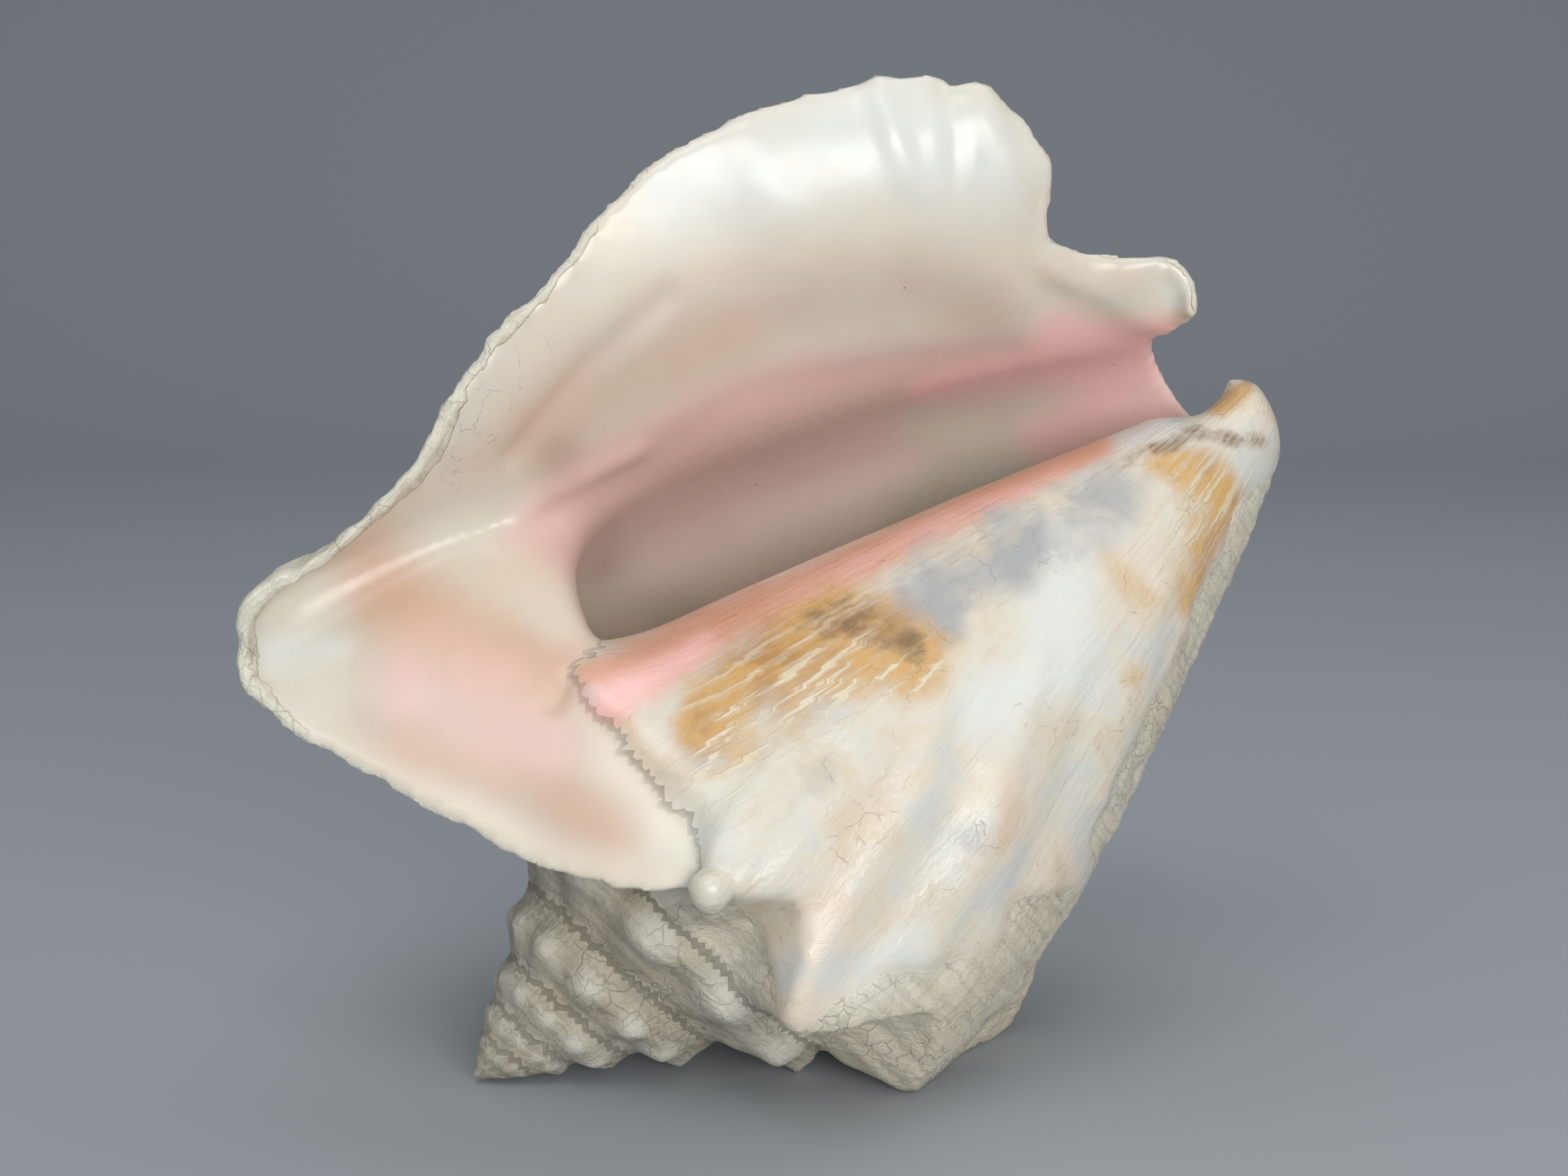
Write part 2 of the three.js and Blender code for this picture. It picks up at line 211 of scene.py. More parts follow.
def whorl_radius(turn, height, last):
    """Radius of a whorl from its landing on the one before; last is True on the last whorl."""
    low = suture_height(turn)
    high = shoulder_height(turn)
    t = np.clip((height - low) / (high - low), 0, 1)
    foot = spire_wall(turn - 1, low)
    ramp = lerp(foot, shoulder_radius(turn), t ** ramp_power(turn))
    return np.where(height >= high, wall_radius(turn, height) if last else spire_wall(turn, height), ramp)


def bump(sideways, along):
    x = np.hypot(sideways, along)
    return np.maximum(0, 1 - np.maximum(0, np.sqrt(x * x + 0.01) - 0.1)) ** 1.25


def spine_push(turn, height):
    """Push of the nearest spine, along the axis and outwards."""
    turn, height = np.broadcast_arrays(np.asarray(turn, float), np.asarray(height, float))
    along = np.zeros(turn.shape)
    out = np.zeros(turn.shape)
    body = turn > -0.04
    for at, push, swell, wide in BODY_SPINES:
        off = height - shoulder_height(at)
        side = (turn - at) / wide
        b = bump(side, off / np.where(off < 0, 24.0, 38.0)) * body
        ridge = np.exp(-(1.6 * side) ** 2) * smooth((off + 8) / 16) * (1 - smooth(off / 75)) * body
        along += push * b
        out += swell * b + 2.6 * ridge
    at = np.round(turn * SPINES_PER_TURN) / SPINES_PER_TURN
    size = shoulder_radius(at) / SPIRE_KNOB_RADIUS
    off = height - shoulder_height(at)
    reach = np.where(off < 0, 10.0, 9.0) * np.clip(size, 0.3, 1)
    b = bump((turn - at) / 0.05, off / reach) * (turn <= -0.33)
    for at, level, swell, wide, tall in (KNOB, TOOTH):
        out += swell * np.exp(-((turn - at) / wide) ** 2 - ((height - level) / tall) ** 2)
    return along - SPIRE_KNOB * size * b, out + SPIRE_KNOB * size * b


def place(turn, height, radius):
    angle = np.pi / 2 + 2 * np.pi * turn
    return np.stack([height + 0 * angle, radius * np.cos(angle), radius * np.sin(angle)], -1)


def coil_grid():
    """Spire, front of the last whorl and columella as columns of rows, levels for stitching, and facts."""
    turn = FIRST_TURN + np.arange(COLUMNS) / COLUMNS
    fades = 1 - smooth((turn - 0.27) / 0.13)
    keep = np.where(turn > 0.2, fades, 1)
    rows = []
    for k in range(SPIRE_WHORLS, -1, -1):
        home = turn - k
        low, high = suture_height(home), shoulder_height(home)
        fine = max(3, round(10 * math.exp(-0.22 * k)))
        for i in range(fine):
            t = i / fine
            rows.append((-k - 0.4 * (1 - t), lerp(low, high, t), home, k))
        if k:
            after = suture_height(home + 1)
            fine = max(2, round(7 * math.exp(-0.22 * k)))
            for i in range(fine):
                t = i / fine
                rows.append((-k + 0.6 * t, lerp(high, after, t), home, k))
        else:
            for t in np.concatenate([np.linspace(0, 0.94, 100), np.linspace(0.947, 0.998, 14)]):
                rows.append((float(t), lerp(high, COLUMELLA_END, t), home, k))
    levels, points, heights, homes = [], [], [], []
    for level, height, home, k in rows:
        radius = whorl_radius(home, height, k == 0)
        if k == 0:
            hidden = np.minimum(core_radius(height), spire_wall(turn - 1, height))
            radius = np.where(turn > 0.2, lerp(hidden, radius, fades), radius)
        along, out = spine_push(home, height)
        share = keep if k == 0 else 1
        levels.append(np.full(COLUMNS, level))
        heights.append(height + along * share)
        points.append(place(turn, height + along * share, radius + out * share))
        homes.append(home)
    points = np.array(points)
    return turn, np.array(levels), np.array(heights), points, np.array(homes)


def coil_mesh():
    _, _, heights, points, _ = coil_grid()
    n_rows = len(points)
    index = np.arange(n_rows * COLUMNS).reshape(n_rows, COLUMNS) + 2
    verts = np.concatenate([[[0, 0, 0], [COLUMELLA_END, 0, 0]], points.reshape(-1, 3)])
    a, b = index[:-1, :-1], index[:-1, 1:]
    c, d = index[1:, 1:], index[1:, :-1]
    quads = np.stack([a, b, c, d], -1).reshape(-1, 4).tolist()
    tris = []
    left = list(zip(heights[:, -1], index[:, -1]))
    right = list(zip(heights[:, 0], index[:, 0]))
    i = j = 0
    while i < n_rows - 1 or j < n_rows - 1:
        next_left = left[i + 1][0] if i < n_rows - 1 else math.inf
        next_right = right[j + 1][0] if j < n_rows - 1 else math.inf
        if next_left <= next_right:
            tris.append((left[i][1], right[j][1], left[i + 1][1]))
            i += 1
        else:
            tris.append((left[i][1], right[j][1], right[j + 1][1]))
            j += 1
    for col in range(COLUMNS):
        nxt = (col + 1) % COLUMNS
        tris.append((0, index[0, nxt], index[0, col]))
        tris.append((1, index[-1, col], index[-1, nxt]))
    return verts, quads + [tuple(int(x) for x in t) for t in tris]


def landing(turn):
    """Where the last whorl's back meets the spire, climbing over the shoulder before it near the lip."""
    usual = suture_height(turn)
    before = turn - 1
    climbed = lerp(suture_height(before), shoulder_height(before), 0.8)
    height = lerp(usual, climbed, smooth((turn - 0.55) / 0.2))
    on_ramp = whorl_radius(before, height, True)
    on_wall = spire_wall(before, height)
    return height, np.where(height < shoulder_height(before), on_ramp, on_wall) - 2


def back_at(turn, share):
    """Height and radius of the last whorl's outer face; share 0 to 1 is the ramp and 1 to 2 the wall."""
    low, foot = landing(turn)
    high = shoulder_height(turn)
    power = lerp(1.0, 0.8, smooth((turn - 0.6) / 0.15))
    ramp = np.clip(share, 0, 1)
    wall = np.clip(share - 1, 0, 1)
    height = np.where(share < 1, lerp(low, high, ramp), lerp(high, CANAL_END, wall))
    radius = np.where(share < 1, lerp(foot, shoulder_radius(turn), ramp ** power), wall_radius(turn, height))
    return height, radius


def rim_curve(count):
    """Rim points, tangents, curl, share and leaving turn at even steps, through a centripetal Catmull-Rom."""
    p = RIM[:, :3]
    gaps = np.linalg.norm(np.diff(p, axis=0), axis=1)
    ext = np.concatenate([[2 * p[0] - p[1]], p, [2 * p[-1] - p[-2]]])
    lengths = np.concatenate([[0], np.cumsum(gaps)])
    want = np.linspace(0, lengths[-1], count)
    at = np.interp(want, lengths, np.arange(len(p)))
    seg = np.minimum(at.astype(int), len(p) - 2)
    t = (at - seg)[:, None]
    a, b, c, d = (ext[seg + k] for k in range(4))
    ka = np.linalg.norm(b - a, axis=1)[:, None] ** 0.5
    kb = np.linalg.norm(c - b, axis=1)[:, None] ** 0.5
    kc = np.linalg.norm(d - c, axis=1)[:, None] ** 0.5
    m1 = ((b - a) / ka - (c - a) / (ka + kb) + (c - b) / kb) * kb
    m2 = ((c - b) / kb - (d - b) / (kb + kc) + (d - c) / kc) * kb
    t2, t3 = t * t, t * t * t
    point = (2 * t3 - 3 * t2 + 1) * b + (t3 - 2 * t2 + t) * m1 + (3 * t2 - 2 * t3) * c + (t3 - t2) * m2
    way = (6 * t2 - 6 * t) * b + (3 * t2 - 4 * t + 1) * m1 + (6 * t - 6 * t2) * c + (3 * t2 - 2 * t) * m2
    way /= np.linalg.norm(way, axis=1)[:, None]
    curl, share, leave = (np.interp(want, lengths, RIM[:, k]) for k in (3, 4, 5))
    return point, way, curl, share, leave


def across_rim(way):
    """Outward directions across the rim's tangents."""
    out = np.stack([-way[:, 1], way[:, 0], np.zeros(SHEET_ROWS)], -1)
    return out / np.linalg.norm(out, axis=1)[:, None]


def rim_outward(along):
    """Outward direction of the rim at a share of the way along it."""
    out = across_rim(rim_curve(SHEET_ROWS)[1])
    at = np.clip((np.asarray(along) * (SHEET_ROWS - 1)).astype(int), 0, SHEET_ROWS - 1)
    return out[at]


def sheet_mesh():
    end, way, curl, share, leave = rim_curve(SHEET_ROWS)
    out = across_rim(way)
    roll = np.radians(curl)[:, None]
    out = out * np.cos(roll) + np.array([0, 0, 1]) * np.sin(roll)
    f = np.linspace(0, 1, BACK_STEPS + 1)[None, :]
    turn = lerp(SHEET_START, leave[:, None], f)
    height, radius = back_at(turn, share[:, None] + 0 * turn)
    under = 0.4 * (1 - smooth((turn - 0.24) / 0.07))
    back = place(turn, height, radius - under)
    start = back[:, -1]
    go = start - back[:, -7]
    go /= np.linalg.norm(go, axis=1)[:, None]
    span = np.linalg.norm(end - start, axis=1)[:, None]
    first = start + go * 0.32 * span
    second = end - out * 0.36 * span
    s = (np.arange(1, LIP_STEPS + 1) / LIP_STEPS)[None, :, None]
    lip = ((1 - s) ** 3 * start[:, None] + 3 * s * (1 - s) ** 2 * first[:, None]
           + 3 * s * s * (1 - s) * second[:, None] + s ** 3 * end[:, None])
    grid = np.concatenate([back, lip], axis=1)
    soft = grid.copy()
    for _ in range(SOFTENING):
        soft[1:-1] += 0.25 * (soft[:-2] - 2 * soft[1:-1] + soft[2:])
    column = np.arange(grid.shape[1])
    rises = smooth((column - BACK_STEPS * 0.7) / (BACK_STEPS * 0.25))
    falls = smooth((column - BACK_STEPS - LIP_STEPS * 0.45) / (LIP_STEPS * 0.5))
    soften = rises * (1 - falls)
    grid += (soft - grid) * soften[None, :, None]
    across = np.gradient(grid, axis=1)
    along = np.gradient(grid, axis=0)
    normal = np.cross(across, along)
    normal /= np.linalg.norm(normal, axis=2)[..., None] + 1e-12
    back_part = np.zeros((SHEET_ROWS, BACK_STEPS + 1))
    lip_part = np.concatenate([back_part, np.repeat(s[..., 0], SHEET_ROWS, 0)], axis=1)
    thick = lerp(SHEET, LIP_EDGE, lip_part)
    thick[-1] *= 0.6
    thick *= lerp(0.3, 1, smooth(np.arange(SHEET_ROWS) / 22.0))[:, None]
    inner = grid - normal * thick[..., None]
    push, swell = spine_push(turn, height)
    fades = 1 - smooth((turn - 0.76) / 0.05)
    angle = np.pi / 2 + 2 * np.pi * turn
    outer = grid.copy()
    spines = np.stack([push, swell * np.cos(angle), swell * np.sin(angle)], -1)
    outer[:, :BACK_STEPS + 1] += spines * fades[..., None]
    nose = (outer[:, -1] + inner[:, -1]) / 2 + out * 0.45 * LIP_EDGE
    loop = np.concatenate([outer, nose[:, None], inner[:, ::-1]], axis=1)
    ring = loop.shape[1]
    count = grid.shape[1]
    index = np.arange(SHEET_ROWS * ring).reshape(SHEET_ROWS, ring)
    a = index[:-1]
    b = np.roll(a, -1, axis=1)
    c = np.roll(index[1:], -1, axis=1)
    quads = np.stack([a, b, c, index[1:]], -1).reshape(-1, 4).tolist()
    for row, flip in ((0, True), (SHEET_ROWS - 1, False)):
        r = index[row]
        caps = [[r[i], r[i + 1], r[ring - 2 - i], r[ring - 1 - i]] for i in range(count - 1)]
        caps.append([r[count - 1], r[count], r[count + 1]])
        quads += [c[::-1] if flip else c for c in caps]
    quads = [[int(x) for x in q] for q in quads]
    return loop.reshape(-1, 3), quads


def shell_axes():
    """The shell's axis, side and front as the camera sees them."""
    cl, sl, ca, sa = math.cos(LEAN), math.sin(LEAN), math.cos(AWAY), math.sin(AWAY)
    axis = np.array([ca * cl, ca * sl, -sa])
    side = np.array([-sl, cl, 0.0])
    return axis, side, np.cross(axis, side)


def rest_pose():
    cd, sd = math.cos(LOOK_DOWN), math.sin(LOOK_DOWN)
    to_world = np.array([[1, 0, 0], [0, sd, -cd], [0, cd, sd]])
    return to_world @ np.stack(shell_axes(), 1)


POSE = rest_pose()


def to_row(points):
    """Shell frame in millimetres to the row frame in metres."""
    return (points @ POSE.T + OFFSET) / 1000


def to_shell(points):
    """Row frame in metres to the shell frame in millimetres."""
    return (points * 1000 - OFFSET) @ POSE


# Places in the photograph's pixels, as (x, y, reach) along each soft stroke, with the stroke's strength
LIP_MARKS = {
    "rose": [
        (0.9, [(735, 790, 50), (860, 670, 52), (1000, 600, 58), (1150, 542, 52), (1300, 525, 46),
               (1440, 510, 48), (1580, 510, 52)]),
        (0.3, [(728, 640, 18), (830, 520, 16), (944, 420, 20)]),
        (0.7, [(800, 770, 70), (1000, 690, 80), (1200, 625, 66), (1400, 590, 52)]),
        (0.5, [(770, 960, 34), (812, 920, 28)]),
    ],
    "blush": [
        (0.85, [(1300, 552, 20), (1440, 520, 28), (1560, 508, 44), (1650, 500, 38)]),
        (0.8, [(1560, 570, 60), (1480, 620, 50), (1650, 575, 40)]),
        (0.8, [(1500, 470, 40), (1580, 500, 50), (1650, 470, 34)]),
        (0.4, [(560, 980, 60), (650, 1020, 70), (770, 1060, 70)]),
        (0.3, [(600, 900, 60), (720, 950, 60)]),
    ],
    # Painted shade: the wing darker towards the throat's hole, across its middle and low on the posterior wing
    "shade": [
        (0.75, [(790, 640, 40), (835, 730, 55), (850, 830, 46), (870, 900, 30)]),
        (0.55, [(760, 600, 70), (900, 500, 90), (1080, 430, 90), (1300, 400, 80), (1400, 440, 60)]),
        (0.6, [(520, 1040, 80), (700, 1110, 90), (840, 1170, 70)]),
        (0.5, [(540, 940, 70), (700, 1000, 80), (800, 1040, 50)]),
    ],
    # Painted shade: a narrow darker band on the wing along the throat's left edge
    "dim": [(0.75, [(846, 735, 26), (832, 790, 28), (838, 850, 28), (862, 900, 24)])],
    # Pale rose of the deep throat, lightened as painted light against the cavity's shade
    "throat": [
        (0.8, [(880, 700, 55), (960, 740, 80), (1120, 710, 85), (1260, 650, 60)]),
        (0.95, [(890, 860, 50), (960, 830, 60), (1080, 790, 50), (1200, 740, 46)]),
    ],
    "cream": [
        (0.8, [(725, 800, 42), (790, 865, 52), (960, 860, 46)]),
        (0.75, [(1290, 610, 40), (1390, 610, 50), (1440, 640, 34)]),
        (0.6, [(420, 1030, 45), (600, 1130, 38), (800, 1215, 36), (930, 1245, 30)]),
    ],
    "peach": [
        (0.9, [(540, 830, 80), (640, 905, 95), (780, 960, 70)]),
        (0.6, [(560, 1060, 60), (740, 1110, 70), (870, 1190, 50)]),
        (0.45, [(660, 660, 60), (850, 560, 70), (1050, 470, 50)]),
        (0.45, [(1480, 380, 40), (1600, 390, 36)]),
    ],
    # White of the lip, with painted highlights in the left tip's trough and on the canal lobe's curl
    "milk": [
        (0.8, [(960, 260, 100), (1250, 190, 120), (1400, 230, 85)]),
        (0.4, [(620, 600, 45), (800, 400, 60)]),
        (0.85, [(350, 925, 42), (480, 915, 26)]),
        (0.8, [(1660, 425, 20), (1670, 400, 16)]),
    ],
    "craze": [(1.0, [(640, 660, 40), (690, 560, 50), (760, 500, 30)])],
}
BODY_MARKS = {
    "blush": [
        (0.8, [(806, 1006, 40), (850, 990, 40), (905, 965, 32), (1000, 905, 20)]),
        (0.45, [(1100, 860, 26), (1300, 755, 22), (1500, 668, 16)]),
    ],
    "salmon": [
        (1.0, [(812, 1005, 62), (880, 955, 56), (1000, 890, 46), (1106, 848, 40), (1217, 792, 34),
               (1327, 736, 28), (1438, 684, 24), (1560, 632, 20)]),
        (0.85, [(826, 1010, 44), (842, 1080, 36), (864, 1150, 26)]),
    ],
    "milk": [
        (0.75, [(836, 985, 16)]),
        (0.75, [(905, 1004, 20)]),
        (0.85, [(1500, 800, 60), (1490, 950, 75), (1400, 1000, 60)]),
        (0.85, [(905, 1150, 45), (970, 1195, 45)]),
        (0.6, [(1330, 1240, 34), (1390, 1160, 30)]),
        (0.9, [(1795, 670, 16), (1785, 720, 16)]),
        (0.7, [(1290, 1330, 30), (1180, 1390, 26)]),
    ],
    "amber": [
        (1.0, [(985, 1040, 40), (1030, 985, 48), (1100, 930, 60), (1180, 895, 62), (1250, 885, 52),
               (1300, 920, 38)]),
        (0.6, [(1120, 1010, 50), (1220, 950, 50), (1300, 960, 40)]),
        (0.85, [(985, 1000, 26), (1080, 915, 28), (1170, 860, 24)]),
        (0.5, [(1000, 1090, 26), (1060, 1060, 30)]),
        (0.85, [(1640, 650, 26), (1700, 660, 40), (1740, 710, 36), (1712, 770, 36), (1690, 850, 26)]),
        (0.9, [(1722, 575, 16), (1758, 548, 16)]),
        (0.6, [(845, 1080, 20), (866, 1145, 22)]),
        (0.35, [(1560, 790, 24), (1640, 860, 26), (1600, 960, 20)]),
    ],
    "dark": [
        (0.7, [(1150, 876, 26), (1232, 878, 32), (1296, 912, 28)]),
        (0.7, [(1590, 650, 12), (1690, 612, 12), (1780, 622, 14)]),
    ],
    "slate": [
        (0.62, [(1290, 850, 60), (1400, 790, 70), (1500, 735, 64), (1590, 690, 44)]),
        (0.9, [(1330, 880, 26), (1350, 850, 20)]),
        (0.9, [(1440, 790, 26), (1470, 765, 20)]),
        (0.8, [(1113, 990, 15)]),
        (0.6, [(930, 1110, 45), (1000, 1055, 36)]),
        (0.5, [(1150, 1095, 32)]),
        (0.45, [(1370, 1185, 32)]),
        (0.9, [(1455, 758, 24)]),
    ],
    "peach": [
        (0.3, [(1230, 1130, 60), (1290, 1045, 50)]),
        (0.35, [(1418, 1180, 32), (1440, 1080, 28)]),
        (0.3, [(1560, 720, 30), (1570, 800, 26)]),
        (0.25, [(1130, 1350, 36), (1180, 1280, 40), (1300, 1290, 34)]),
        (0.25, [(1050, 1180, 34), (1110, 1110, 30)]),
    ],
    "streak": [
        (1.0, [(1010, 1050, 60), (1110, 990, 75), (1210, 960, 75), (1300, 960, 60)]),
        (0.9, [(1690, 720, 70)]),
    ],
}
# Masks whose edges are blended along the mesh
SOFT_MASKS = ("front", "shade", "dim", "rose", "blush", "throat", "cream", "peach", "milk", "salmon", "slate")
# Edge of the glazed front, in the photograph's pixels
GLAZED = [
    (780, 930), (1100, 780), (1548, 590), (1725, 560), (1800, 500), (1830, 640), (1764, 700),
    (1724, 790), (1660, 930), (1612, 1030), (1570, 1130), (1548, 1190), (1532, 1266), (1456, 1262),
    (1402, 1350), (1330, 1362), (1240, 1385), (1192, 1422), (1142, 1466), (1112, 1460), (1094, 1400),
    (1076, 1322), (1050, 1290), (1020, 1262), (918, 1290), (826, 1150),
]
# Folds of the lip's inner face and of the front: strength in millimetres, then the stroke
FOLDS = [
    (1.8, [(1236, 110, 18), (1262, 190, 20), (1300, 300, 20, 0)]),
    (-1.5, [(1335, 115, 16), (1352, 190, 18), (1352, 330, 20, 0)]),
    (1.3, [(1390, 130, 20), (1425, 230, 20), (1440, 330, 20, 0)]),
    (1.0, [(1050, 190, 40), (1100, 300, 40)]),
    (-1.0, [(720, 650, 16), (830, 520, 18), (944, 420, 20)]),
    (-0.5, [(860, 690, 24), (1060, 560, 26), (1240, 520, 24), (1420, 500, 24)]),
    (0.9, [(700, 770, 14), (770, 700, 16), (900, 640, 16)]),
    (-1.0, [(780, 1000, 12), (800, 960, 12), (860, 925, 12)]),
]
BODY_FOLDS = [
    (1.1, [(1115, 1440, 18), (1190, 1300, 28), (1290, 1130, 30), (1330, 1000, 24)]),
    (-0.88, [(1200, 1400, 22), (1290, 1260, 26), (1370, 1100, 24)]),
    (0.99, [(1300, 1380, 20), (1400, 1200, 26), (1440, 1050, 26), (1470, 930, 20)]),
    (-0.83, [(1430, 1290, 20), (1510, 1110, 22), (1550, 960, 20)]),
    (0.77, [(1560, 1130, 18), (1610, 950, 22), (1650, 820, 18)]),
    (0.77, [(990, 1245, 16), (1040, 1150, 18), (1110, 1060, 16)]),
    (-0.61, [(1060, 1260, 14), (1120, 1160, 16), (1190, 1060, 14)]),
    (0.66, [(1560, 745, 10)]),
    (-0.88, [(1620, 1095, 12)]),
    (-0.88, [(1560, 1215, 12)]),
    (-0.77, [(1500, 1300, 14)]),
]
# Worn knob of the front spine beside the lip, and the worm's ring on the spire: place and reach in pixels
WORN_KNOB = (1006, 1262, 26)
WORM_RING = (1068, 1428, 9)
# Their heights, the groove round the knob and the other relief, in millimetres
KNOB_HEIGHT = 4.5
KNOB_GROOVE = 0.7
WORM_HEIGHT = 1.0
ENAMEL_STEP = 0.7
CORD_STEP = 4.4
CORD_HEIGHT = 0.22
RIM_LENGTH = 620
CHIP_GRAIN = 16.0
# Chalk along the rim: share of the way along it, and the band's width in millimetres
CHALK_BAND = (
    [0, 0.1, 0.2, 0.27, 0.34, 0.42, 0.5, 0.6, 0.7, 1],
    [1.5, 1.2, 1.6, 5, 8, 5, 3.2, 2, 1, 1],
)
# Upper limits, in the shell frame, of the region on the back where the enamel is held off
BEHIND = (76, 50, -16)
# The coil's points have no rim near them
FAR_FROM_RIM = 900.0
# The mesh stays inside the CAD model's box by this much, in metres
INSET = 0.0001


def pixels(q):
    """Where places in the shell frame appear in the photograph, in its pixels."""
    seen = q @ np.stack(shell_axes())
    x = APEX_X + seen[:, 0]
    y = APEX_Y + seen[:, 1]
    far = APEX_DEPTH - seen[:, 2]
    return np.stack([FRAME_PX[0] / 2 + FOCAL_PX * x / far, FRAME_PX[1] / 2 - FOCAL_PX * y / far], -1)


def stroke(px, points):
    """Soft band along a line of points (x, y, reach) or (x, y, reach, height)."""
    best = np.zeros(len(px))
    line = np.array([(*p, 1.0)[:4] for p in (points if len(points) > 1 else points * 2)], float)
    for a, b in zip(line[:-1], line[1:]):
        run = b[:2] - a[:2]
        t = np.clip((px - a[:2]) @ run / max(run @ run, 1e-9), 0, 1)
        gap = np.linalg.norm(px - a[:2] - t[:, None] * run, axis=1)
        best = np.maximum(best, lerp(a[3], b[3], t) * np.exp(-(gap / lerp(a[2], b[2], t)) ** 2))
    return best


def mark(px, strokes):
    total = np.zeros(len(px))
    for strength, points in strokes:
        total = 1 - (1 - total) * (1 - strength * stroke(px, points))
    return total


def inside(px, outline, soft):
    """1 inside an outline in pixels, 0 outside, blended over soft pixels."""
    line = np.array(outline + outline[:1], float)
    hit = np.zeros(len(px), bool)
    gap = np.full(len(px), 1e9)
    for a, b in zip(line[:-1], line[1:]):
        cross = (a[1] > px[:, 1]) != (b[1] > px[:, 1])
        x_at = a[0] + (px[:, 1] - a[1]) / (b[1] - a[1] + 1e-9) * (b[0] - a[0])
        hit ^= cross & (px[:, 0] < x_at)
        run = b - a
        t = np.clip((px - a) @ run / (run @ run), 0, 1)
        gap = np.minimum(gap, np.linalg.norm(px - a - t[:, None] * run, axis=1))
    return smooth(0.5 + np.where(hit, gap, -gap) / soft)


def noise(p, seed=0):
    """Smooth value noise, 0 to 1, of points in units of its grain."""
    cell = np.floor(p).astype(np.int64)
    f = p - cell
    f = f * f * (3 - 2 * f)
    total = 0
    for corner in range(8):
        step = np.array([corner & 1, corner >> 1 & 1, corner >> 2])
        c = cell + step
        h = (c[:, 0] * 73856093) ^ (c[:, 1] * 19349663) ^ (c[:, 2] * 83492791) ^ (seed * 2654435761)
        h = (h ^ (h >> 13)) * 1274126177 & 0x7FFFFFFF
        total = total + np.prod(np.where(step, f, 1 - f), axis=1) * (((h >> 8) & 0xFFFF) / 65535.0)
    return total


def make_object(name, verts, faces):
    mesh = bpy.data.meshes.new(name)
    mesh.from_pydata(verts.tolist(), [], faces)
    mesh.update()
    obj = bpy.data.objects.new(name, mesh)
    bpy.context.scene.collection.objects.link(obj)
    return obj


def coords(mesh):
    v = np.empty(len(mesh.vertices) * 3)
    mesh.vertices.foreach_get("co", v)
    return v.reshape(-1, 3)


def set_coords(mesh, v):
    mesh.vertices.foreach_set("co", v.ravel())
    mesh.update()


def apply_modifiers(obj):
    deps = bpy.context.evaluated_depsgraph_get()
    mesh = bpy.data.meshes.new_from_object(obj.evaluated_get(deps))
    old = obj.data
    obj.modifiers.clear()
    obj.data = mesh
    bpy.data.meshes.remove(old)


def source_places():
    """Places of the two surfaces, and of each: on the sheet, whorl, cord, turn, layer, along and rim."""
    _, levels, heights, points, homes = coil_grid()
    whorl = np.floor(-np.nextafter(levels, 9) + 0.6)
    n = points.shape[0] * COLUMNS
    cord = heights - shoulder_height(homes)
    none = np.zeros(n)
    far = np.full(n, FAR_FROM_RIM)
    coil = np.stack([none, whorl.ravel(), cord.ravel(), homes.ravel(), none, none, far], -1)
    verts, _ = sheet_mesh()
    ring = len(verts) // SHEET_ROWS
    half = ring // 2
    share, leave = rim_curve(SHEET_ROWS)[3:]
    loop = np.arange(ring)
    grid = verts.reshape(SHEET_ROWS, ring, 3)
    step = np.linalg.norm(np.diff(grid, axis=1), axis=2)
    walk = np.concatenate([np.zeros((SHEET_ROWS, 1)), np.cumsum(step, axis=1)], axis=1)
    rim = np.abs(walk - walk[:, half:half + 1])
    layer = np.clip((walk - walk[:, half:half + 1]) / 3, -1, 1)
    f = np.clip(np.minimum(loop, ring - 1 - loop) / BACK_STEPS, 0, 1)[None, :]
    back = lerp(SHEET_START, leave[:, None], f)
    height, _ = back_at(back, share[:, None] + 0 * back)
    lip = np.clip((np.minimum(loop, ring - 1 - loop) - BACK_STEPS) / LIP_STEPS, 0, 1)[None, :] + 0 * back
    along = np.linspace(0, 1, SHEET_ROWS)[:, None] + 0 * back
    columns = (1 + 0 * back, 0 * back, height - shoulder_height(back), back + lip * 0.3, layer, along, rim)
    sheet = np.stack([a.ravel() for a in columns], -1)
    return np.concatenate([points.reshape(-1, 3), verts]), np.concatenate([coil, sheet])


def spread(values, edges, count, passes):
    """Blend values along the mesh's edges."""
    a, b = edges.T
    degree = np.bincount(a, minlength=count) + np.bincount(b, minlength=count)
    for _ in range(passes):
        total = np.bincount(a, values[b], count) + np.bincount(b, values[a], count)
        values = 0.5 * values + 0.5 * total / np.maximum(degree, 1)
    return values


coil_v, coil_f = coil_mesh()
sheet_v, sheet_f = sheet_mesh()
verts = np.concatenate([coil_v, sheet_v])
faces = [list(f) for f in coil_f] + [[i + len(coil_v) for i in f] for f in sheet_f]
shell = make_object("shell_surface", to_row(verts), faces)
remesh = shell.modifiers.new("Remesh", "REMESH")
remesh.mode = "VOXEL"
remesh.voxel_size = VOXEL
remesh.use_smooth_shade = True
apply_modifiers(shell)
relax = shell.modifiers.new("Smooth", "SMOOTH")
relax.factor = 0.5
relax.iterations = 3
apply_modifiers(shell)

v = coords(shell.data)
count = len(v)
q = to_shell(v)
places, facts = source_places()
tree = KDTree(len(places))
for i, place_at in enumerate(places):
    tree.insert(place_at, i)
tree.balance()
near = np.array([tree.find(x)[1] for x in q])
of_sheet, whorl, cord, turn, layer, along, rim = facts[near].T
edges = np.empty(len(shell.data.edges) * 2, np.int32)
shell.data.edges.foreach_get("vertices", edges)
edges = edges.reshape(-1, 2)
normal = np.empty(count * 3)
shell.data.vertices.foreach_get("normal", normal)
normal = normal.reshape(-1, 3) @ POSE
px = pixels(q)

